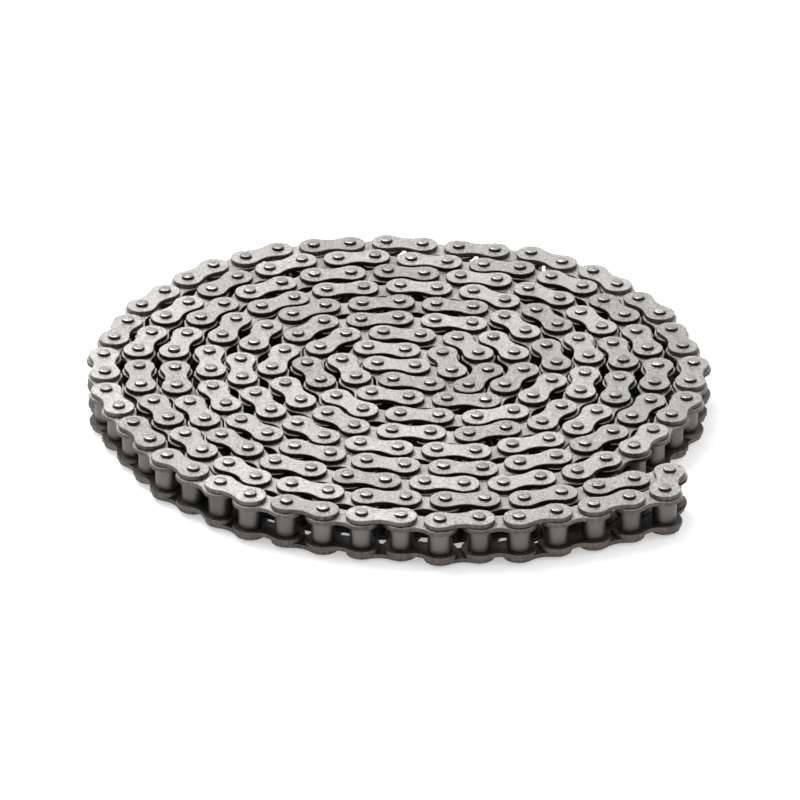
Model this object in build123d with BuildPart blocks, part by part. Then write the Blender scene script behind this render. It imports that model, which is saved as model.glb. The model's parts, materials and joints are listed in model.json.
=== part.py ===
from build123d import *
import math
import os

# Endless roller chain, laid flat as a doubled strand wound outward from its middle.
# Millimetres, +Z up. Every pin stands upright and its lower end rests on z = 0.
# The origin is the middle of the coil's footprint. The outer hairpin lies at the front right.

# Sizes of one link
pitch = 12.70
inner_width = 7.85
plate_thickness = 1.50
inner_plate_height = 11.80
inner_plate_waist = 8.00
outer_plate_height = 10.40
outer_plate_waist = 7.20
plate_edge_break = 0.20
pin_diameter = 3.97
pin_stand = 1.18
pin_end_break = 0.35
bush_wall = 0.75
roller_diameter = 7.92
roller_edge_break = 0.30

# Running clearances
pin_play = 0.065
roller_play = 0.07
roller_side_play = 0.12
link_side_play = 0.19

# How the strand is laid
inner_strand_pitches = 105
lay_clearance = 0.20
lay_step = 0.02
core_headings = (180.0, 185.0)
core_hairpin_heading = 118.0
core_return_heading = 172.0
lead_angle = 40.0
tail_pairs = 5
tail_bend = 23.0
end_hairpin_turn = 123.0
coil_turn = -14.0

# Sizes that follow
pin_radius = pin_diameter / 2
bush_bore = pin_radius + pin_play
bush_radius = bush_bore + bush_wall
roller_bore = bush_radius + roller_play
roller_length = inner_width - 2 * roller_side_play
inner_face = inner_width / 2
inner_back = inner_face + plate_thickness
outer_face = inner_back + link_side_play
outer_back = outer_face + plate_thickness
pin_half = outer_back + pin_stand
mid_height = pin_half
lobe_height = max(inner_plate_height, outer_plate_height)
inner_nesting = (inner_plate_height + inner_plate_waist) / 2
outer_nesting = (outer_plate_height + outer_plate_waist) / 2
waist_spacing = max(inner_nesting, outer_nesting) + lay_clearance


def step_from(pin, heading):
    x = pin[0] + pitch * math.cos(heading)
    y = pin[1] + pitch * math.sin(heading)
    return (x, y)


def distance(first, second):
    return math.hypot(second[0] - first[0], second[1] - first[1])


def bearing(first, second):
    return math.atan2(second[1] - first[1], second[0] - first[0])


def link_middles(strand):
    """Middle of every link of a strand, where its plates are narrowest."""
    pairs = zip(strand, strand[1:])
    return [((first[0] + second[0]) / 2, (first[1] + second[1]) / 2) for first, second in pairs]


def contact_swings(tip, start, laid, arm, spacing):
    """Swings from the start at which a point on an arm from the tip meets each laid point."""
    swings = []
    for point in laid:
        reach = distance(tip, point)
        if reach < pitch / 100 or reach >= arm + spacing:
            continue
        cosine = (reach**2 + arm**2 - spacing**2) / (2 * arm * reach)
        if cosine >= 1:
            continue
        contact = bearing(tip, point) - math.acos(max(-1.0, cosine))
        swings.append((contact - start) % (2 * math.pi))
    return swings


def resting_heading(strand, heading, other, spacing):
    """Turn the next link inward from the outside until a lobe or waist meets one already laid."""
    tip = strand[-1]
    start = heading - math.radians(50)
    lobes = strand[:-1] + other
    waists = link_middles(strand) + link_middles(other)
    swings = contact_swings(tip, start, lobes, pitch, spacing)
    swings += contact_swings(tip, start, waists, pitch, waist_spacing)
    swings += contact_swings(tip, start, lobes, pitch / 2, waist_spacing)
    nearest = min(swings, default=math.pi)
    if nearest < math.radians(176):
        return start + nearest
    return heading + math.radians(20)


def wound(middle, old, new):
    """Angle gained about the middle of the coil by one more pin."""
    change = bearing(middle, new) - bearing(middle, old)
    return (change + math.pi) % (2 * math.pi) - math.pi


def is_clear(pins, spacing):
    """True when no two lobes of the closed loop come nearer than the spacing, nor a lobe to a waist."""
    count = len(pins)
    middles = link_middles(pins + pins[:1])
    for i in range(count):
        for j in range(i + 2, count):
            if i == 0 and j == count - 1:
                continue
            if distance(pins[i], pins[j]) < spacing - 1e-6:
                return False
        for j in range(count):
            beside = (i - j) % count in (0, 1)
            if not beside and distance(pins[i], middles[j]) < waist_spacing - 1e-6:
                return False
    return True


def close_loop(strand_a, strand_b, offset, spacing):
    """Two links lead strand A into a tail that runs parallel to the tail of strand B."""
    tail = [(x + offset[0], y + offset[1]) for x, y in strand_b[-tail_pairs - 1:]]
    start = strand_a[-1]
    span = distance(start, tail[0])
    if span >= 2 * pitch or span < spacing:
        return None
    rise = math.sqrt(pitch**2 - span**2 / 4)
    along = bearing(start, tail[0])
    x = (start[0] + tail[0][0]) / 2 + rise * math.sin(along)
    y = (start[1] + tail[0][1]) / 2 - rise * math.cos(along)
    closed = strand_a + [(x, y)] + tail
    if is_clear(closed[::-1] + strand_b, spacing):
        return closed
    return None


def lay_coil(spacing):
    """Lay both strands outward from the middle hairpin and join them in the outer hairpin."""
    strand_a = [(0.0, 0.0)]
    for degrees in core_headings:
        heading_a = math.radians(degrees)
        strand_a.append(step_from(strand_a[-1], heading_a))
    strand_b = [step_from(strand_a[0], math.radians(core_hairpin_heading))]
    heading_b = math.radians(core_return_heading)
    middle = (-0.63 * pitch, 0.0)
    angle_a = bearing(middle, strand_a[-1]) % (2 * math.pi)
    angle_b = bearing(middle, strand_b[0]) % (2 * math.pi)
    headings = [heading_b]
    offset = None
    while len(strand_a) < 2 * inner_strand_pitches:
        b_done = len(strand_b) > inner_strand_pitches
        if b_done or angle_a < angle_b + math.radians(lead_angle):
            tip = strand_a[-1]
            heading_a = resting_heading(strand_a, heading_a, strand_b, spacing)
            strand_a.append(step_from(tip, heading_a))
            angle_a += wound(middle, tip, strand_a[-1])
        else:
            tip = strand_b[-1]
            heading_b = resting_heading(strand_b, heading_b, strand_a, spacing)
            if len(strand_b) > inner_strand_pitches - tail_pairs + 1:
                limit = headings[inner_strand_pitches - tail_pairs] + math.radians(tail_bend)
                heading_b = min(heading_b, limit)
            headings.append(heading_b)
            strand_b.append(step_from(tip, heading_b))
            angle_b += wound(middle, tip, strand_b[-1])
        if b_done:
            across = heading_b - math.radians(end_hairpin_turn)
            offset = (pitch * math.cos(across), pitch * math.sin(across))
            target = (strand_b[-tail_pairs - 1][0] + offset[0],
                      strand_b[-tail_pairs - 1][1] + offset[1])
            near = distance(strand_a[-1], target)
            if near < 2 * pitch and len(strand_a) % 2 == 1:
                return close_loop(strand_a, strand_b, offset, spacing), strand_b
    return None, strand_b


def turned(pins, degrees):
    angle = math.radians(degrees)
    cosine, sine = math.cos(angle), math.sin(angle)
    return [(x * cosine - y * sine, x * sine + y * cosine) for x, y in pins]


def lay_chain():
    """Open the lay by small steps until the endless loop closes without a lobe touching."""
    spacing = lobe_height + lay_clearance
    strand_a, strand_b = lay_coil(spacing)
    while strand_a is None:
        spacing += lay_step
        strand_a, strand_b = lay_coil(spacing)
    strand_a = turned(strand_a, coil_turn)
    strand_b = turned(strand_b, coil_turn)
    xs = [pin[0] for pin in strand_a + strand_b]
    ys = [pin[1] for pin in strand_a + strand_b]
    shift = ((min(xs) + max(xs)) / 2, (min(ys) + max(ys)) / 2)
    strand_a = [(x - shift[0], y - shift[1]) for x, y in strand_a]
    strand_b = [(x - shift[0], y - shift[1]) for x, y in strand_b]
    print("lay spacing", round(spacing, 3), "strand pitches", len(strand_a) - 1, len(strand_b) - 1)
    print("footprint", round(max(xs) - min(xs) + lobe_height, 2), round(max(ys) - min(ys) + lobe_height, 2))
    return strand_a, strand_b


strand_a, strand_b = lay_chain()

# --- pieces ---


def link_places(strand, first, last, kind):
    """Middle and direction of every inner or outer link from pitch first to pitch last."""
    places = []
    for k in range(first, last + 1):
        if (k % 2 == 1) == (kind == "inner"):
            x = (strand[k - 1][0] + strand[k][0]) / 2
            y = (strand[k - 1][1] + strand[k][1]) / 2
            turn = math.degrees(bearing(strand[k - 1], strand[k]))
            places.append(Location((x, y, mid_height), (0, 0, turn)))
    return places


def pin_places(strand, first, last):
    return [Location((x, y, mid_height)) for x, y in strand[first:last + 1]]


def waist_points(height, waist):
    """Where the round lobe meets the hollow side of a plate."""
    lobe = height / 2
    half = waist / 2
    hollow = (half**2 + (pitch / 2) ** 2 - lobe**2) / (2 * (lobe - half))
    centre = half + hollow
    share = lobe / (lobe + hollow)
    return pitch / 2 * (1 - share), centre * share


# Flat profiles of the two plates
inner_x, inner_y = waist_points(inner_plate_height, inner_plate_waist)
with BuildSketch() as inner_profile:
    with BuildLine():
        ThreePointArc((inner_x, -inner_y), (pitch / 2 + inner_plate_height / 2, 0), (inner_x, inner_y))
        ThreePointArc((inner_x, inner_y), (0, inner_plate_waist / 2), (-inner_x, inner_y))
        ThreePointArc((-inner_x, inner_y), (-pitch / 2 - inner_plate_height / 2, 0), (-inner_x, -inner_y))
        ThreePointArc((-inner_x, -inner_y), (0, -inner_plate_waist / 2), (inner_x, -inner_y))
    make_face()

outer_x, outer_y = waist_points(outer_plate_height, outer_plate_waist)
with BuildSketch() as outer_profile:
    with BuildLine():
        ThreePointArc((outer_x, -outer_y), (pitch / 2 + outer_plate_height / 2, 0), (outer_x, outer_y))
        ThreePointArc((outer_x, outer_y), (0, outer_plate_waist / 2), (-outer_x, outer_y))
        ThreePointArc((-outer_x, outer_y), (-pitch / 2 - outer_plate_height / 2, 0), (-outer_x, -outer_y))
        ThreePointArc((-outer_x, -outer_y), (0, -outer_plate_waist / 2), (outer_x, -outer_y))
    make_face()

# One plate of each kind, blanked, edge-broken and punched. Its underside is at local z = 0.
with BuildPart() as inner_plate:
    add(inner_profile.sketch)
    extrude(amount=plate_thickness)
    chamfer(inner_plate.faces().sort_by(Axis.Z)[-1].edges(), plate_edge_break)
    chamfer(inner_plate.faces().sort_by(Axis.Z)[0].edges(), plate_edge_break)
    with Locations((-pitch / 2, 0, 0), (pitch / 2, 0, 0)):
        Cylinder(bush_radius, 3 * plate_thickness, mode=Mode.SUBTRACT)

with BuildPart() as outer_plate:
    add(outer_profile.sketch)
    extrude(amount=plate_thickness)
    chamfer(outer_plate.faces().sort_by(Axis.Z)[-1].edges(), plate_edge_break)
    chamfer(outer_plate.faces().sort_by(Axis.Z)[0].edges(), plate_edge_break)
    with Locations((-pitch / 2, 0, 0), (pitch / 2, 0, 0)):
        Cylinder(pin_radius, 3 * plate_thickness, mode=Mode.SUBTRACT)

# Pin, bush and roller, each centred on its own axis at mid height
with BuildPart() as pin:
    Cylinder(pin_radius, 2 * pin_half)
    chamfer(pin.edges().filter_by(GeomType.CIRCLE), pin_end_break)

with BuildPart() as bush:
    Cylinder(bush_radius, 2 * inner_back)
    Cylinder(bush_bore, 2 * inner_back, mode=Mode.SUBTRACT)

with BuildPart() as roller:
    Cylinder(roller_diameter / 2, roller_length)
    chamfer(roller.edges().filter_by(GeomType.CIRCLE), roller_edge_break)
    Cylinder(roller_bore, roller_length, mode=Mode.SUBTRACT)

# Heights of the plates' undersides above mid height
inner_upper = inner_face
inner_lower = -inner_back
outer_upper = outer_face
outer_lower = -outer_back


def build_group(name, piece, places, rise):
    """Separate solids of one piece, one at each place, in one node."""
    raised = [place * Location((0, 0, rise)) for place in places]
    with BuildPart() as group:
        with Locations(*raised):
            add(piece)
    group.part.label = name
    export_step(group.part, f"parts/{name}.step")
    print(name, len(group.part.solids()))


os.makedirs("parts", exist_ok=True)

# The coil that lies still: everything up to the last pivots before the tail
fixed_a = len(strand_a) - 1 - tail_pairs
fixed_b = len(strand_b) - 1 - tail_pairs
middle_hairpin = link_places([strand_b[0], strand_b[0], strand_a[0]], 2, 2, "outer")
outer_a = middle_hairpin + link_places(strand_a, 1, fixed_a, "outer")
outer_b = link_places(strand_b, 1, fixed_b, "outer")
inner_a = link_places(strand_a, 1, fixed_a, "inner")
inner_b = link_places(strand_b, 1, fixed_b, "inner")
build_group("outer_plates_upper_a", outer_plate.part, outer_a, outer_upper)
build_group("outer_plates_lower_a", outer_plate.part, outer_a, outer_lower)
build_group("outer_plates_upper_b", outer_plate.part, outer_b, outer_upper)
build_group("outer_plates_lower_b", outer_plate.part, outer_b, outer_lower)
build_group("inner_plates_upper_a", inner_plate.part, inner_a, inner_upper)
build_group("inner_plates_lower_a", inner_plate.part, inner_a, inner_lower)
build_group("inner_plates_upper_b", inner_plate.part, inner_b, inner_upper)
build_group("inner_plates_lower_b", inner_plate.part, inner_b, inner_lower)
build_group("pins_a", pin.part, pin_places(strand_a, 0, fixed_a), 0)
build_group("pins_b", pin.part, pin_places(strand_b, 0, fixed_b), 0)
build_group("bushes_a", bush.part, pin_places(strand_a, 0, fixed_a - 1), 0)
build_group("bushes_b", bush.part, pin_places(strand_b, 0, fixed_b - 1), 0)
build_group("rollers_a", roller.part, pin_places(strand_a, 0, fixed_a - 1), 0)
build_group("rollers_b", roller.part, pin_places(strand_b, 0, fixed_b - 1), 0)

# The tail of each strand, link by link outward from the coil
for side, strand, fixed in (("a", strand_a, fixed_a), ("b", strand_b, fixed_b)):
    for number in range(1, tail_pairs + 1):
        k = fixed + number
        name = f"tail_{side}{number}"
        if k % 2 == 1:
            place = link_places(strand, k, k, "inner")
            build_group(name + "_plate_upper", inner_plate.part, place, inner_upper)
            build_group(name + "_plate_lower", inner_plate.part, place, inner_lower)
            build_group(name + "_bushes", bush.part, pin_places(strand, k - 1, k), 0)
            build_group(name + "_roller_near", roller.part, pin_places(strand, k - 1, k - 1), 0)
            build_group(name + "_roller_far", roller.part, pin_places(strand, k, k), 0)
        else:
            place = link_places(strand, k, k, "outer")
            build_group(name + "_plate_upper", outer_plate.part, place, outer_upper)
            build_group(name + "_plate_lower", outer_plate.part, place, outer_lower)
            build_group(name + "_pins", pin.part, pin_places(strand, k - 1, k), 0)

# The outer link that turns the outer hairpin and closes the loop
end_pins = [strand_b[-1], strand_b[-1], strand_a[-1]]
end_link = link_places(end_pins, 2, 2, "outer")
build_group("tail_end_plate_upper", outer_plate.part, end_link, outer_upper)
build_group("tail_end_plate_lower", outer_plate.part, end_link, outer_lower)
build_group("tail_end_pins", pin.part, pin_places(end_pins, 1, 2), 0)
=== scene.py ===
import json
import math

import bpy
import numpy as np
from bpy.props import FloatProperty, FloatVectorProperty, IntProperty, PointerProperty
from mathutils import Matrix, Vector

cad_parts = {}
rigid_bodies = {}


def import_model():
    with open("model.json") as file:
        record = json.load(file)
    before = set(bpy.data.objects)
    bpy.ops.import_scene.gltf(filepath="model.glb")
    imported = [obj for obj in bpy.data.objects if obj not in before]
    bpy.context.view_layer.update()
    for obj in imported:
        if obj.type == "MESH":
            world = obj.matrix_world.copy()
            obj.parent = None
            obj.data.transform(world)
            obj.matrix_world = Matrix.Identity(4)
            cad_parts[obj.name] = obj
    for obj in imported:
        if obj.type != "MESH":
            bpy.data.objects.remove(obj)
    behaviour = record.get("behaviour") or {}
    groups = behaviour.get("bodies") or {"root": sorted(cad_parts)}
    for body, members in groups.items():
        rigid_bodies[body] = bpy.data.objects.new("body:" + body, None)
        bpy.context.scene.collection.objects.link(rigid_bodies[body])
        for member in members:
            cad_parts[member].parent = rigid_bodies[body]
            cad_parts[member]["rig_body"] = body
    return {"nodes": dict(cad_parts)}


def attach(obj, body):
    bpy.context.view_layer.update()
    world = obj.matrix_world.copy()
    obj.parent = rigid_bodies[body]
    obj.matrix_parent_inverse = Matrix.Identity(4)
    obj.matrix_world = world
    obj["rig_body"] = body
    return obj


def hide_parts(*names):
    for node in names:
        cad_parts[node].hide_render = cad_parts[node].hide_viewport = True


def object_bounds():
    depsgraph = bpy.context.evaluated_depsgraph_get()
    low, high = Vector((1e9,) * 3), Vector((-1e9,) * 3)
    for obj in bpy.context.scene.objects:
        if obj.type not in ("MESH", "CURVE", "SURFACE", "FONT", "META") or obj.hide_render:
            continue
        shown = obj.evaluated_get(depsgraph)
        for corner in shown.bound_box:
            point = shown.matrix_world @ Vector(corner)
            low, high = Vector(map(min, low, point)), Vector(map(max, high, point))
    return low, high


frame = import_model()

bl_info = {
    "name": "Coiled roller chain",
    "version": (1, 0, 0),
    "blender": (4, 5, 0),
    "location": "3D View > Sidebar > Chain",
    "description": "Steel roller chain laid flat in a doubled spiral",
    "category": "Object",
}

MM = 0.001
CAD_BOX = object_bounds()
NODES = sorted(frame["nodes"])

# Sizes of one link, in mm. The shown plates are lower than the solids by PLATE_INSET.
PITCH = 12.7
PLATE_INSET = 0.03
OUTER_PLATE_HEIGHT = 10.4 - PLATE_INSET
OUTER_PLATE_WAIST = 7.2
INNER_PLATE_HEIGHT = 11.8 - PLATE_INSET
INNER_PLATE_WAIST = 8.0
PIN_RADIUS = 1.985
BUSH_RADIUS = 2.8
ROLLER_BORE = 2.87
ROLLER_RADIUS = 3.96
HOLE_SINK = 0.14
FACE_MARGIN = 0.16
PIN_SIDES = 18
ROLLER_SIDES = 22
FULL_TURN = 6.3

# The part of the Link map that one link takes, in mm, and how deep the relief of the metals is, in m
MAP_SPAN = 40
PLATE_RELIEF = 0.00005
PIN_RELIEF = 0.00007
ROLLER_RELIEF = 0.00005

# A solid is at the outside of the coil when no pin lies this far beyond it and this near its side, mm.
# Plate sides there get painted light, and those deeper in get painted shade.
BEYOND = 8.5
BESIDE = 9.0

# Camera: angles in degrees, reach and target in metres, lens and sensor in mm
CAMERA_TURN = 0.0
CAMERA_LIFT = 28.0
CAMERA_REACH = 2.055
CAMERA_LENS = 280.0
CAMERA_SENSOR = 36.0
CAMERA_TARGET = (0.0005, -0.0203, 0.0166)
FLOOR_HALF = 6.0


def nodes_named(*words):
    """CAD nodes whose name holds every one of the words."""
    return [n for n in NODES if all(w in n for w in words)]


# ---------------------------------------------------------------- places of the solids


def solid_boxes(node):
    """Low and high corner of every separate solid of a node, in mm.

    Corners at one place are joined, and each triangle passes its lowest label on
    until all the corners of a solid carry the same one.
    """
    mesh = frame["nodes"][node].data
    mesh.calc_loop_triangles()
    co = np.empty(len(mesh.vertices) * 3)
    mesh.vertices.foreach_get("co", co)
    co = co.reshape(-1, 3) / MM
    tris = np.empty(len(mesh.loop_triangles) * 3, dtype=np.int64)
    mesh.loop_triangles.foreach_get("vertices", tris)
    points, place = np.unique(np.round(co, 3), axis=0, return_inverse=True)
    tris = place.ravel()[tris].reshape(-1, 3)
    label = np.arange(len(points))
    while True:
        low = label[tris].min(axis=1)
        new = label.copy()
        np.minimum.at(new, tris.ravel(), np.repeat(low, 3))
        new = new[new]
        if np.array_equal(new, label):
            break
        label = new
    names, group = np.unique(label, return_inverse=True)
    low = np.full((len(names), 3), np.inf)
    high = np.full((len(names), 3), -np.inf)
    np.minimum.at(low, group.ravel(), points)
    np.maximum.at(high, group.ravel(), points)
    return low, high


def solid_centres(node):
    """Middle of every solid of a node in plan, and the node's lowest and highest level."""
    low, high = solid_boxes(node)
    return (low[:, :2] + high[:, :2]) / 2, low[:, 2].min(), high[:, 2].max()


PINS = np.vstack([solid_centres(n)[0] for n in nodes_named("pins")])
SPANS = np.linalg.norm(PINS[:, None] - PINS[None], axis=2)
MID_LEVEL = (CAD_BOX[0].z + CAD_BOX[1].z) / 2 / MM
FIRST, SECOND = np.nonzero(np.triu(np.abs(SPANS - PITCH) < 0.01))
MIDDLES = (PINS[FIRST] + PINS[SECOND]) / 2


def link_places(node):
    """Middle and direction of each plate: its middle picks the two pins a pitch apart that it joins."""
    centres, low, high = solid_centres(node)
    near = np.linalg.norm(centres[:, None] - MIDDLES[None], axis=2).argmin(axis=1)
    run = PINS[SECOND[near]] - PINS[FIRST[near]]
    return MIDDLES[near], np.arctan2(run[:, 1], run[:, 0]), low, high


# ---------------------------------------------------------------- shapes


def plate_outline(height, waist, count):
    """Half of a plate's rim, from the middle of one side round the lobe to the other, with normals.

    The lobe is an arc about the pin, and the hollow side is an arc outside the plate
    that touches the lobe and the waist's narrowest point.
    """
    lobe, half, reach = height / 2, waist / 2, PITCH / 2
    hollow = (half**2 + reach**2 - lobe**2) / (2 * (lobe - half))
    lean = math.atan2(half + hollow, -reach)
    turn = np.linspace(-lean, lean, count)
    arc = np.stack([reach + lobe * np.cos(turn), lobe * np.sin(turn)], axis=1)
    arc_out = np.stack([np.cos(turn), np.sin(turn)], axis=1)
    side = np.linspace(lean - math.pi, -math.pi / 2, 4)[1:]
    dip_out = -np.stack([np.cos(side), np.sin(side)], axis=1)
    dip = np.array([0, half + hollow]) - hollow * dip_out
    dip[-1, 0] = 0
    flip = np.array([1, -1])
    rim = np.vstack([(dip * flip)[::-1], arc, dip])
    out = np.vstack([(dip_out * flip)[::-1], arc_out, dip_out])
    return rim, out


def plate_shape(height, waist, hole, thick, round_over, count):
    """One waisted plate with two holes, as points, quads and link coordinates.

    Each half is a set of rings: the hole's wall and its small countersink, the flat
    face, the bevelled rim, the side, and the underside. The rings of the flat faces
    close along the plate's middle line, and the rings of the rim stay open there.
    """
    rim, out = plate_outline(height, waist, count)
    n = len(rim)
    middle = np.array([0.5, 0.0, -0.5])

    def ring(inset, z, closed):
        edge = rim - out * inset
        edge[0, 0] = edge[-1, 0] = 0
        top = edge[-1, 1]
        mid = np.stack([np.zeros(3), middle * top], axis=1)
        pts = np.vstack([edge, mid]) if closed else edge
        return np.column_stack([pts, np.full(len(pts), z)])

    def bore(radius, z):
        away = np.vstack([rim, np.stack([np.zeros(3), middle * waist / 2], axis=1)]) - [PITCH / 2, 0]
        away /= np.linalg.norm(away, axis=1)[:, None]
        pts = away * radius + [PITCH / 2, 0]
        return np.column_stack([pts, np.full(len(pts), z)])

    r = round_over
    rings = [
        bore(hole, thick - HOLE_SINK),
        bore(hole + HOLE_SINK, thick),
        ring(r + FACE_MARGIN, thick, True),
        ring(r, thick, False),
        ring(0.0, thick - r, False),
        ring(0.0, 0.7 * r, False),
        ring(0.5 * r, 0.0, True),
        bore(hole, 0.0),
    ]
    starts = np.cumsum([0] + [len(x) for x in rings])
    points = np.vstack(rings)
    faces = []

    def strip(i, j, closed):
        m = n + 3 if closed else n
        a = np.arange(m if closed else m - 1)
        b = (a + 1) % m
        faces.append(np.stack([starts[i] + a, starts[i] + b, starts[j] + b, starts[j] + a], axis=1))

    strip(1, 0, True)
    strip(2, 1, True)
    for i in range(2, 6):
        strip(i + 1, i, False)
    strip(7, 6, True)
    strip(0, 7, True)
    faces = np.vstack(faces)
    twin = points * [-1, -1, 1]
    points = np.vstack([points, twin])
    faces = np.vstack([faces, faces + len(twin)])
    return merged(points, faces)


def merged(points, faces):
    """Points at one place become one point, and quads with a repeated point are dropped."""
    rounded = np.round(points, 5)
    _, first, back = np.unique(rounded, axis=0, return_index=True, return_inverse=True)
    faces = back.ravel()[faces]
    keep = np.array([len(set(f)) == len(f) for f in faces.tolist()])
    return points[first], faces[keep]


def turned_shape(profile, sides):
    """A profile of (radius, height) pairs turned about Z: at turn t it is (r cos t, r sin t, h)."""
    profile = np.asarray(profile, float)
    t = np.arange(sides) * 2 * math.pi / sides
    r, h = profile[:, 0][:, None], profile[:, 1][:, None]
    return np.stack([r * np.cos(t), r * np.sin(t), h + 0 * t], axis=2)


def turned_faces(rows, sides, closed):
    """Quads between the rows of a turned grid, with the last row joined to the first if closed."""
    i = np.arange(rows if closed else rows - 1)[:, None]
    j = np.arange(sides)[None]
    k = (j + 1) % sides
    n = (i + 1) % rows
    quads = np.stack([i * sides + j, i * sides + k, n * sides + k, n * sides + j], axis=2)
    return quads.reshape(-1, 4)


def placed(points, centres, angles, rise):
    """Copies of one shape, each turned by its angle about Z and moved to its centre."""
    cos, sin = np.cos(angles)[:, None], np.sin(angles)[:, None]
    if points.ndim == 2:
        points = np.repeat(points[None], len(centres), axis=0)
    x = points[:, :, 0] * cos - points[:, :, 1] * sin + centres[:, 0][:, None]
    y = points[:, :, 0] * sin + points[:, :, 1] * cos + centres[:, 1][:, None]
    z = points[:, :, 2] + rise
    return np.stack([x, y, z], axis=2)


def openness(centres):
    """1 for a solid with nothing beyond it on the way out of the coil, 0 for one deeper in."""
    away = np.linalg.norm(centres, axis=1)[:, None]
    reach = np.linalg.norm(PINS, axis=1)[None]
    own_turn = np.arctan2(centres[:, 1], centres[:, 0])[:, None]
    turn = np.arctan2(PINS[:, 1], PINS[:, 0])[None] - own_turn
    turn = (turn + math.pi) % (2 * math.pi) - math.pi
    beyond = (reach > away + BEYOND) & (np.abs(turn) * away < BESIDE)
    return 1.0 - beyond.any(axis=1)


def make_piece(name, points, faces, local, tones, material, sharp):
    """A mesh of equal solids: points is solids by corners by 3 in mm, faces are those of one solid.

    local holds each corner's place on its own link, kept as the UV map. tones holds one
    value for each solid, kept as a point attribute beside whether it is at the outside.
    """
    solids, corners = points.shape[:2]
    step = (np.arange(solids) * corners)[:, None, None]
    all_faces = []
    for group in faces:
        all_faces += (group[None] + step).reshape(-1, group.shape[1]).tolist()
    mesh = bpy.data.meshes.new(name)
    mesh.from_pydata((points.reshape(-1, 3) * MM).tolist(), [], all_faces)
    mesh.update()
    tone = mesh.attributes.new("tone", "FLOAT", "POINT")
    tone.data.foreach_set("value", np.repeat(tones, corners).astype(np.float32))
    outer = mesh.attributes.new("outer", "FLOAT", "POINT")
    # Openness of each solid: the plates' material paints their sheared sides lighter, as light, where
    # it is 1 and darker, as shade, where it is 0.
    light_openness = openness(points.mean(axis=1)[:, :2])
    outer.data.foreach_set("value", np.repeat(light_openness, corners).astype(np.float32))
    layer = mesh.uv_layers.new(name="Link")
    used = np.empty(len(mesh.loops), dtype=np.int64)
    mesh.loops.foreach_get("vertex_index", used)
    spread = np.broadcast_to(local, (solids, corners, 2)).reshape(-1, 2)
    layer.data.foreach_set("uv", (spread[used] / MAP_SPAN + 0.5).astype(np.float32).ravel())
    mesh.polygons.foreach_set("use_smooth", np.ones(len(mesh.polygons), dtype=bool))
    mesh.set_sharp_from_angle(angle=math.radians(sharp))
    mesh.materials.append(material)
    piece = bpy.data.objects.new(name, mesh)
    bpy.context.scene.collection.objects.link(piece)
    return piece


def stand_for(piece, node):
    """The piece rides with the node's body and is shown in its place."""
    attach(piece, frame["nodes"][node]["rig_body"])
    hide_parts(node)


def random_for(node, salt):
    """A random source that is the same on every run for one node."""
    return np.random.default_rng(sum(ord(c) * (i + 7) for i, c in enumerate(node)) + salt)


# ---------------------------------------------------------------- shader maths


class Sock:
    """A shader socket with arithmetic: each operator adds one Math node."""

    def __init__(self, bench, socket):
        self.bench = bench
        self.socket = socket

    def math(self, operation, *others, clamp=False):
        values = {0: self}
        for i, other in enumerate(others):
            values[i + 1] = other
        return self.bench.add("ShaderNodeMath", {"operation": operation, "use_clamp": clamp}, values)

    def __add__(self, other):
        return self.math("ADD", other)

    def __sub__(self, other):
        return self.math("SUBTRACT", other)

    def __mul__(self, other):
        return self.math("MULTIPLY", other)

    def __pow__(self, other):
        return self.math("POWER", other)

    __radd__ = __add__

    def __rsub__(self, other):
        return self.bench.add("ShaderNodeMath", {"operation": "SUBTRACT"}, {0: other, 1: self})

    def step(self, low, high):
        """0 below low, 1 above high, smooth between."""
        settings = {"interpolation_type": "SMOOTHSTEP", "clamp": True}
        values = {0: self, 1: low, 2: high, 3: 0.0, 4: 1.0}
        return self.bench.add("ShaderNodeMapRange", settings, values)

    def clamped(self):
        return self.math("ADD", 0.0, clamp=True)


class Bench:
    """A material's node tree. add() puts in a node with its settings, then its values or links."""

    def __init__(self, name):
        self.material = bpy.data.materials.new(name)
        self.material.use_nodes = True
        self.tree = self.material.node_tree
        self.tree.nodes.clear()

    def add(self, kind, settings=None, values=None, out=0):
        node = self.tree.nodes.new(kind)
        for key, value in (settings or {}).items():
            setattr(node, key, value)
        for key, value in (values or {}).items():
            if isinstance(value, Sock):
                self.tree.links.new(value.socket, node.inputs[key])
            else:
                node.inputs[key].default_value = value
        return Sock(self, node.outputs[out]) if node.outputs else node

    def noise(self, vector, scale, detail, rough, spin=0.0):
        values = {"Vector": vector, "Scale": scale, "Detail": detail}
        values.update({"Roughness": rough, "Distortion": spin})
        return self.add("ShaderNodeTexNoise", {}, values)

    def shift(self, vector, amount):
        return self.add("ShaderNodeVectorMath", {"operation": "ADD"}, {0: vector, 1: amount})

    def stretch(self, vector, scale, turn=0.0):
        values = {"Vector": vector, "Scale": scale, "Rotation": (0.0, 0.0, turn)}
        return self.add("ShaderNodeMapping", {}, values)

    def blend(self, factor, first, second):
        settings = {"data_type": "RGBA"}
        values = {0: factor, 6: first, 7: second}
        return self.add("ShaderNodeMix", settings, values, out=2)

    def tint(self, colour, amount):
        """A colour made lighter or darker by a varying amount."""
        scale = self.add("ShaderNodeCombineXYZ", {}, {0: amount, 1: amount, 2: amount})
        return self.add("ShaderNodeVectorMath", {"operation": "MULTIPLY"}, {0: colour[:3], 1: scale})

    def metal(self, colour, rough, height, depth):
        """Finish the material as a metal with varying colour, roughness and relief."""
        bump = self.add("ShaderNodeBump", {}, {"Strength": 1.0, "Distance": depth, "Height": height})
        values = {"Base Color": colour, "Metallic": 1.0, "Roughness": rough, "Normal": bump}
        surface = self.add("ShaderNodeBsdfPrincipled", {}, values)
        self.add("ShaderNodeOutputMaterial", {}, {"Surface": surface})
        return self.material


def place_in_mm(bench):
    """Object coordinates in mm."""
    where = bench.add("ShaderNodeTexCoord", {}, {}, out=3)
    return bench.add("ShaderNodeVectorMath", {"operation": "SCALE"}, {0: where, "Scale": 1 / MM})


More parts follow.
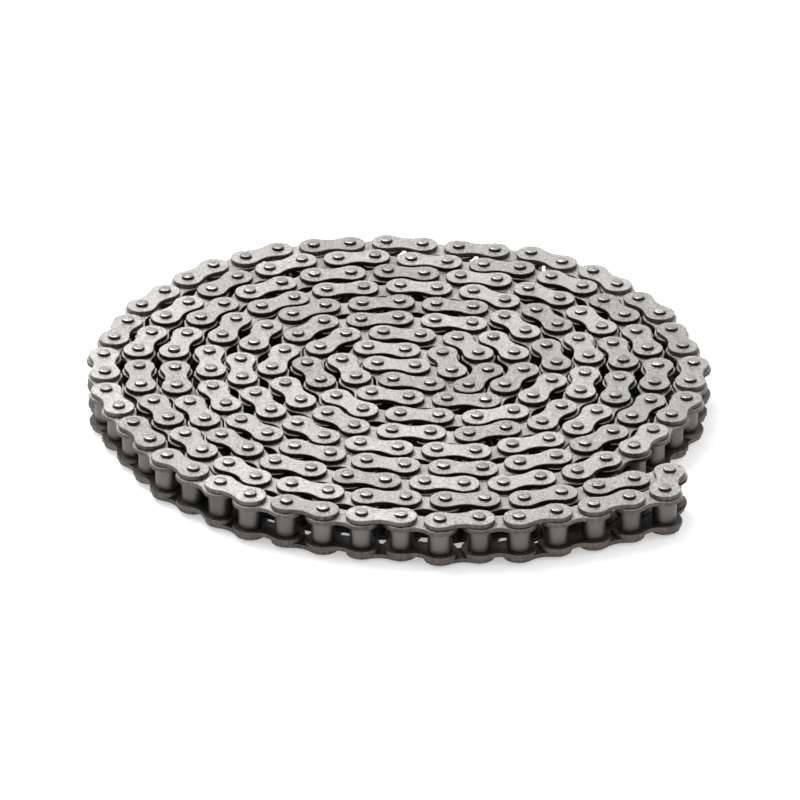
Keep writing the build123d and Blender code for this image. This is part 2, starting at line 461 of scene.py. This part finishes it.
def surface_terms(bench):
    """Place in mm, shifted for each solid, the solid's tone, and the upward part of the normal."""
    place = place_in_mm(bench)
    tone = bench.add("ShaderNodeAttribute", {"attribute_name": "tone"}, {}, out=2)
    jump = bench.add("ShaderNodeCombineXYZ", {}, {0: tone * 97.0, 1: tone * 61.0, 2: tone * 13.0})
    place = bench.shift(place, jump)
    normal = bench.add("ShaderNodeTexCoord", {}, {}, out=1)
    up = bench.add("ShaderNodeSeparateXYZ", {}, {0: normal}, out=2)
    return place, tone, up


def distance_from_pin(bench):
    """Distance in mm on a plate from the nearer of its two pins, from the Link map."""
    uv = bench.add("ShaderNodeUVMap", {"uv_map": "Link"}, {})
    link_x = (bench.add("ShaderNodeSeparateXYZ", {}, {0: uv}, out=0) - 0.5) * MAP_SPAN
    link_y = (bench.add("ShaderNodeSeparateXYZ", {}, {0: uv}, out=1) - 0.5) * MAP_SPAN
    return ((link_x.math("ABSOLUTE") - PITCH / 2) ** 2.0 + link_y ** 2.0) ** 0.5


def scratches(bench, place, turn, cut):
    """Thin straight marks: noise drawn out along one direction, with only its peaks kept."""
    drawn = bench.stretch(place, (0.22, 5.5, 0.22), turn)
    return bench.noise(drawn, 1.0, 2.0, 0.5).step(cut, cut + 0.05)


def plate_steel(name, colour, cut, rough, hole, grain):
    """Tumbled plate: mottled matt faces, worn rims lightened partly as a painted highlight, sheared
    sides with upright streaks.

    Painted shade darkens a ring round each pin, a face that looks into the chain, and the sides of
    plates deep in the coil; the sides at the coil's outside get painted light.
    """
    bench = Bench(name)
    level = bench.add("ShaderNodeSeparateXYZ", {}, {0: place_in_mm(bench)}, out=2) - MID_LEVEL
    place, tone, up = surface_terms(bench)
    flat = up.math("ABSOLUTE").step(0.55, 0.97)
    side = 1.0 - up.math("ABSOLUTE").step(0.05, 0.5)
    cloud = bench.noise(place, 0.35, 3.0, 0.55, 0.4)
    mottle = bench.noise(place, 1.3, 5.0, 0.7, 0.3).step(0.30, 0.70)
    speck = bench.noise(place, 2.4, 4.0, 0.75).step(0.32, 0.68)
    marks = (scratches(bench, place, 0.4, 0.67) + scratches(bench, place, 1.9, 0.69)).clamped()
    dents = bench.noise(place, 0.9, 2.0, 0.4, 1.2).step(0.66, 0.74)
    pits = bench.noise(place, 1.7, 2.0, 0.5, 0.6).step(0.66, 0.74)
    streaks = bench.noise(bench.stretch(place, (1.9, 1.9, 0.15)), 1.0, 3.0, 0.7)
    bite = bench.noise(bench.stretch(place, (2.2, 2.2, 1.6)), 1.0, 4.0, 0.7)
    # Painted shade: the plate faces get a mottled dark ring round each pin.
    ring = 1.0 - (distance_from_pin(bench) - hole).step(0.05, 0.55)
    pin_ring_shade = (ring * 0.75 + ring * (mottle - 0.5) * 0.9).clamped() * flat
    face = 0.84 + tone * 0.32 + (cloud - 0.5) * 0.35 + (mottle - 0.5) * grain + (speck - 0.5) * grain
    face = (face + marks * 0.25 - dents * 0.30 - pits * 0.35) * (1.0 - pin_ring_shade * 0.55)
    # Painted shade: faces that look into the chain, the tops of lower plates and the undersides of
    # upper ones, are darkened.
    face = face * (1.0 - (up * level * -1.0).step(0.0, 1.0) * 0.72)
    # Painted light and shade: sheared sides of plates at the coil's outside are made lighter, with
    # stronger streaks, and those deep in the coil darker.
    light_openness = bench.add("ShaderNodeAttribute", {"attribute_name": "outer"}, {}, out=2)
    rim = (0.28 + light_openness * 1.10) * (0.80 + tone * 0.30)
    rim = rim + (streaks - 0.5) * (light_openness * 2.2 + 0.3)
    rim = rim - bite.step(0.50, 0.64) * 0.15 + (cloud - 0.5) * 0.3
    # Worn rims, lightened partly as a painted highlight on the bevel between face and side.
    rim_wear_and_highlight = (1.0 - flat) * (1.0 - side) * 0.6
    stain = bench.noise(place, 0.5, 4.0, 0.6, 0.8).step(0.55, 0.80) * 0.5
    faces = bench.blend(stain, bench.tint(colour, face), bench.tint((0.43, 0.38, 0.33), face))
    final = bench.blend(flat + rim_wear_and_highlight * 0.35, bench.tint(cut, rim), faces)
    gloss = rough + (mottle - 0.5) * 0.28 + (speck - 0.5) * 0.16
    gloss = gloss + side * 0.10 - rim_wear_and_highlight * 0.14 - marks * 0.10
    height = mottle * 0.7 + speck * 0.6 * flat + streaks * side * 1.2 - marks * 0.5 - dents * 0.9
    return bench.metal(final, gloss, height, PLATE_RELIEF)


def pin_steel(name, colour, rough):
    """Ground pin with a peened end: the top in the pin colour with small hammer marks, and the sides
    painted dark as shade.
    """
    bench = Bench(name)
    place, tone, up = surface_terms(bench)
    top = up.math("ABSOLUTE").step(0.30, 0.75)
    peen = bench.noise(place, 0.75, 3.0, 0.5, 0.8)
    speck = bench.noise(place, 7.0, 4.0, 0.7)
    lathe = bench.noise(bench.stretch(place, (0.4, 0.4, 9.0)), 1.0, 2.0, 0.5)
    dark = peen.step(0.55, 0.72) * top
    shade = 0.84 + tone * 0.30 + (peen - 0.5) * 0.32 + (speck - 0.5) * 0.22 - dark * 0.16
    shade = shade + (1.0 - top) * (lathe - 0.5) * 0.2
    # Painted shade: the pin's sides take a near-black copy of its steel colour, and the top takes the
    # pin colour.
    final = bench.blend(top, bench.tint((0.045, 0.041, 0.037), shade), bench.tint(colour, shade))
    gloss = rough + (speck - 0.5) * 0.22 + (peen - 0.5) * 0.20
    height = peen * 4.5 * top + speck * 0.3 + lathe * (1.0 - top) * 0.4
    return bench.metal(final, gloss, height, PIN_RELIEF)


def roller_steel(name, colour, rough):
    """Hardened roller: darker and duller, with faint marks round it."""
    bench = Bench(name)
    place, tone, _ = surface_terms(bench)
    cloud = bench.noise(place, 0.6, 4.0, 0.6, 0.4)
    speck = bench.noise(place, 5.0, 4.0, 0.7)
    rings = bench.noise(bench.stretch(place, (0.25, 0.25, 6.0)), 1.0, 3.0, 0.55)
    shade = 0.82 + tone * 0.3 + (cloud - 0.5) * 0.45 + (speck - 0.5) * 0.25 + (rings - 0.5) * 0.25
    brown = bench.tint((0.110, 0.090, 0.078), shade)
    final = bench.blend(cloud.step(0.5, 0.75) * 0.5, bench.tint(colour, shade), brown)
    gloss = rough + (cloud - 0.5) * 0.25 + (speck - 0.5) * 0.15
    return bench.metal(final, gloss, rings * 0.7 + speck * 0.5, ROLLER_RELIEF)


# ---------------------------------------------------------------- settings


def length(name, about, default, low, high):
    return FloatProperty(name=name, description=about, default=default, min=low, max=high)


def colour(name, about, red, green, blue):
    shade = (red, green, blue, 1.0)
    return FloatVectorProperty(
        name=name, description=about, subtype="COLOR", size=4, default=shade, min=0, max=1)


def share(name, about, default):
    return FloatProperty(name=name, description=about, subtype="FACTOR", default=default, min=0, max=1)


class ChainSettings(bpy.types.PropertyGroup):
    """Sizes in mm, colours and finishes that the panel shows."""

    rim_round: length("Plate rim", "Width of the bevel round the plates, mm", 0.15, 0.05, 0.5)
    rim_points: IntProperty(
        name="Rim points", description="Points round each lobe of a plate", default=11, min=9, max=40)
    pin_flare: length("Pin flare", "How far the peened end spreads past the pin, mm", 0.01, 0.0, 0.3)
    pin_dome: length("Pin dome", "Height of the dome on the pin's end, mm", 0.12, 0.0, 0.5)
    plate_colour: colour("Plate colour", "Base colour of the plates", 0.385, 0.374, 0.358)
    pin_colour: colour("Pin colour", "Base colour of the pins", 0.34, 0.332, 0.32)
    roller_colour: colour("Roller colour", "Base colour of the rollers", 0.125, 0.117, 0.111)
    # The sheared sides' colour is kept dark partly as painted shade for the gaps between the plates.
    cut_colour: colour("Cut colour", "Base colour of the plates' sheared sides", 0.090, 0.080, 0.072)
    plate_rough: share("Plate roughness", "Roughness of the plate faces", 0.46)
    pin_rough: share("Pin roughness", "Roughness of the pin ends", 0.27)
    roller_rough: share("Roller roughness", "Roughness of the rollers", 0.42)
    grain: share("Plate grain", "Strength of the mottled grain on the plates", 0.70)


# ---------------------------------------------------------------- pieces


def plate_material(name, hole):
    choice = bpy.context.scene.chain_settings
    face, cut = tuple(choice.plate_colour), tuple(choice.cut_colour)
    return plate_steel(name, face, cut, choice.plate_rough, hole, choice.grain)


def tail_plates(numbers):
    """The tail's plate nodes whose link number, or n for the end link, is among those given."""
    return [n for n in nodes_named("tail", "_plate_") if n[6] in numbers]


def build_plates(nodes, height, waist, hole, material):
    """Every plate of the nodes, from one shared shape, each with its own tone."""
    choice = bpy.context.scene.chain_settings
    for node in nodes:
        centres, angles, low, high = link_places(node)
        thick = high - low
        points, faces = plate_shape(height, waist, hole, thick, choice.rim_round, choice.rim_points)
        if "lower" in node:
            points = points * [1, -1, -1] + [0, 0, thick]
        rng = random_for(node, 1)
        solids = placed(points, centres, angles, low)
        tones = rng.random(len(centres))
        piece = make_piece("shown_" + node, solids, [faces], points[:, :2], tones, material, 30)
        stand_for(piece, node)


class CHAIN_OT_outer_plates(bpy.types.Operator):
    """Build the outer plates, waisted and tumbled, with the pins' holes."""

    bl_idname = "chain.outer_plates"
    bl_label = "Outer plates"

    def execute(self, context):
        material = plate_material("outer_plate_steel", PIN_RADIUS)
        nodes = nodes_named("outer_plates") + tail_plates("24n")
        build_plates(nodes, OUTER_PLATE_HEIGHT, OUTER_PLATE_WAIST, PIN_RADIUS, material)
        return {"FINISHED"}


class CHAIN_OT_inner_plates(bpy.types.Operator):
    """Build the inner plates, taller and waisted, with the bushes' holes."""

    bl_idname = "chain.inner_plates"
    bl_label = "Inner plates"

    def execute(self, context):
        material = plate_material("inner_plate_steel", BUSH_RADIUS)
        nodes = nodes_named("inner_plates") + tail_plates("135")
        build_plates(nodes, INNER_PLATE_HEIGHT, INNER_PLATE_WAIST, BUSH_RADIUS, material)
        return {"FINISHED"}


def pin_profile(tall, flare, dome):
    """Radius and height down a pin: a domed end, its flare, and the same upside down."""
    r, d = PIN_RADIUS, dome
    half = [(0.0, 0.0), (0.8, 0.15 * d), (1.4, 0.5 * d), (1.82, d), (r + flare, d + 0.12),
            (r + flare, d + 0.40), (r, d + 0.60)]
    return half + [(radius, tall - z) for radius, z in half[::-1]]


def peened(solids, rng):
    """Pins made uneven by hammering: each end is out of round, leans a little and is dished.

    The radius is scaled by one plus a sum of cosines of 1, 2, 3 and 5 times the turn,
    and the end sinks by the size of a plane's slope and by one random depth.
    """
    count, rows, sides = solids.shape[:3]
    t = np.arange(sides) * 2 * math.pi / sides
    swell_end = [0, 0.5, 0.9, 1.0, 1.0, 0.7]
    weight = np.array(swell_end + [0] * (rows - 12) + swell_end[::-1])
    wave = np.zeros((count, sides))
    for k in (1, 2, 3, 5):
        size = rng.normal(0, 0.020, (count, 1))
        wave += size * np.cos(k * t[None] + rng.random((count, 1)) * FULL_TURN)
    solids[..., :2] *= (1 + wave[:, None] * weight[None, :, None])[..., None]
    slope = rng.normal(0, 0.04, (count, 2))[:, :, None, None]
    lean = solids[..., 0] * slope[:, 0] + solids[..., 1] * slope[:, 1]
    inward = np.where(np.arange(rows) < rows // 2, 1.0, -1.0)[None, :, None]
    lean_rows = np.array([1.0] * 5 + [0.0] * (rows - 10) + [1.0] * 5)[None, :, None]
    dish_end = [1.0, 1.0, 0.6, 0]
    dish_rows = np.array(dish_end + [0] * (rows - 8) + dish_end[::-1])[None, :, None]
    dish = rng.random((count, 1, 1)) * 0.06 * dish_rows
    solids[..., 2] += inward * (np.abs(lean) * lean_rows + dish)
    return solids


def closed_ends(rows, sides):
    """Which points of a turned grid to keep, and its faces, when each end row is one point."""
    quads = turned_faces(rows, sides, False)
    keep = np.r_[0, np.arange(sides, (rows - 1) * sides), (rows - 1) * sides]
    back = np.zeros(rows * sides, dtype=np.int64)
    back[keep] = np.arange(len(keep))
    back[:sides] = 0
    back[(rows - 1) * sides:] = len(keep) - 1
    faces = back[quads]
    fans = np.vstack([faces[:sides][:, [0, 2, 3]], faces[-sides:][:, [0, 1, 2]]])
    return keep, [faces[sides:-sides], fans]


class CHAIN_OT_pins(bpy.types.Operator):
    """Build the pins with flared, domed and slightly uneven peened ends."""

    bl_idname = "chain.pins"
    bl_label = "Pins"

    def execute(self, context):
        choice = context.scene.chain_settings
        material = pin_steel("peened_pin_steel", tuple(choice.pin_colour), choice.pin_rough)
        for node in nodes_named("pins"):
            centres, low, high = solid_centres(node)
            count = len(centres)
            rng = random_for(node, 2)
            profile = pin_profile(high - low, choice.pin_flare, choice.pin_dome)
            grid = turned_shape(profile, PIN_SIDES)
            solids = peened(np.repeat(grid[None], count, axis=0), rng).reshape(count, -1, 3)
            points = placed(solids, centres, rng.random(count) * FULL_TURN, low)
            keep, faces = closed_ends(len(profile), PIN_SIDES)
            flat_map = np.zeros((len(keep), 2))
            piece = make_piece(
                "shown_" + node, points[:, keep], faces, flat_map, rng.random(count), material, 60)
            stand_for(piece, node)
        return {"FINISHED"}


def roller_profile(tall):
    """Radius and height round a roller's wall, from the bore's lower edge and back to its upper one."""
    r, bore = ROLLER_RADIUS, ROLLER_BORE
    lower = [(bore, 0.15), (3.0, 0.0), (3.60, 0.0), (3.87, 0.10), (r, 0.40)]
    return lower + [(radius, tall - z) for radius, z in lower[::-1]]


class CHAIN_OT_rollers(bpy.types.Operator):
    """Build the rollers as short tubes with rounded ends."""

    bl_idname = "chain.rollers"
    bl_label = "Rollers"

    def execute(self, context):
        choice = context.scene.chain_settings
        material = roller_steel("roller_steel", tuple(choice.roller_colour), choice.roller_rough)
        for node in nodes_named("roller"):
            centres, low, high = solid_centres(node)
            count = len(centres)
            rng = random_for(node, 3)
            profile = roller_profile(high - low)
            points = turned_shape(profile, ROLLER_SIDES).reshape(-1, 3)
            solids = placed(points, centres, rng.random(count) * FULL_TURN, low)
            faces = turned_faces(len(profile), ROLLER_SIDES, True)
            flat_map = np.zeros((len(points), 2))
            piece = make_piece(
                "shown_" + node, solids, [faces], flat_map, rng.random(count), material, 50)
            stand_for(piece, node)
        return {"FINISHED"}


class CHAIN_OT_bushes(bpy.types.Operator):
    """Give the bushes, which keep their turned shape, a plain turned finish."""

    bl_idname = "chain.bushes"
    bl_label = "Bushes"

    def execute(self, context):
        choice = context.scene.chain_settings
        material = roller_steel("bush_steel", tuple(choice.roller_colour), choice.roller_rough)
        for node in nodes_named("bushes"):
            for holder in frame["nodes"][node].material_slots:
                holder.material = material
        return {"FINISHED"}


class CHAIN_OT_stage(bpy.types.Operator):
    """Lay a plain white floor and set one soft studio light, a white world and the camera."""

    bl_idname = "chain.stage"
    bl_label = "Floor, light and camera"

    def execute(self, context):
        scene = context.scene
        half = FLOOR_HALF
        corners = [(-half, -half, 0), (half, -half, 0), (half, half, 0), (-half, half, 0)]
        mesh = bpy.data.meshes.new("floor")
        mesh.from_pydata(corners, [], [(0, 1, 2, 3)])
        bench = Bench("floor_white")
        values = {"Base Color": (0.66, 0.66, 0.67, 1.0), "Roughness": 0.9}
        values.update({"Emission Color": (1.0, 1.0, 1.0, 1.0), "Emission Strength": 0.38})
        surface = bench.add("ShaderNodeBsdfPrincipled", {}, values)
        bench.add("ShaderNodeOutputMaterial", {}, {"Surface": surface})
        mesh.materials.append(bench.material)
        floor = bpy.data.objects.new("floor", mesh)
        scene.collection.objects.link(floor)
        world = bpy.data.worlds.new("soft_white")
        world.use_nodes = True
        sky = world.node_tree.nodes["Background"]
        sky.inputs["Color"].default_value = (1.0, 1.0, 1.0, 1.0)
        sky.inputs["Strength"].default_value = 1.1
        scene.world = world
        self.area("light_top", (-0.42, 0.42, 1.00), (-0.02, 0.03, 0.0), 0.8, 12.0)
        self.camera(scene)
        return {"FINISHED"}

    def area(self, name, place, target, size, power):
        light = bpy.data.lights.new(name, "AREA")
        light.size = size
        light.energy = power
        holder = bpy.data.objects.new(name, light)
        holder.location = place
        holder.rotation_euler = (Vector(target) - Vector(place)).to_track_quat("-Z", "Y").to_euler()
        bpy.context.scene.collection.objects.link(holder)

    def camera(self, scene):
        lens = bpy.data.cameras.new("camera")
        lens.sensor_width = CAMERA_SENSOR
        lens.lens = CAMERA_LENS
        lens.clip_start, lens.clip_end = 0.1, 50.0
        turn, lift = math.radians(CAMERA_TURN), math.radians(CAMERA_LIFT)
        level = math.cos(lift)
        away = Vector((math.sin(turn) * level, -math.cos(turn) * level, math.sin(lift)))
        holder = bpy.data.objects.new("camera", lens)
        holder.location = Vector(CAMERA_TARGET) + away * CAMERA_REACH
        holder.rotation_euler = (-away).to_track_quat("-Z", "Y").to_euler()
        scene.collection.objects.link(holder)
        scene.camera = holder
        scene.view_settings.view_transform = "Standard"


class CHAIN_PT_panel(bpy.types.Panel):
    """Sizes, finishes and the pieces that can be built."""

    bl_idname = "CHAIN_PT_panel"
    bl_label = "Roller chain"
    bl_space_type = "VIEW_3D"
    bl_region_type = "UI"
    bl_category = "Chain"

    def draw(self, context):
        choice = context.scene.chain_settings
        for key in ChainSettings.__annotations__:
            self.layout.prop(choice, key)
        for operator in BUILDERS:
            self.layout.operator(operator.bl_idname)


PLATE_BUILDERS = (CHAIN_OT_outer_plates, CHAIN_OT_inner_plates)
BUILDERS = (CHAIN_OT_stage,) + PLATE_BUILDERS + (CHAIN_OT_pins, CHAIN_OT_rollers, CHAIN_OT_bushes)
CLASSES = (ChainSettings,) + BUILDERS + (CHAIN_PT_panel,)


def register():
    for cls in CLASSES:
        bpy.utils.register_class(cls)
    bpy.types.Scene.chain_settings = PointerProperty(type=ChainSettings)


def unregister():
    del bpy.types.Scene.chain_settings
    for cls in reversed(CLASSES):
        bpy.utils.unregister_class(cls)


def main():
    register()
    bpy.ops.chain.stage()
    bpy.ops.chain.outer_plates()
    bpy.ops.chain.inner_plates()
    bpy.ops.chain.pins()
    bpy.ops.chain.rollers()
    bpy.ops.chain.bushes()


if __name__ == "__main__":
    main()
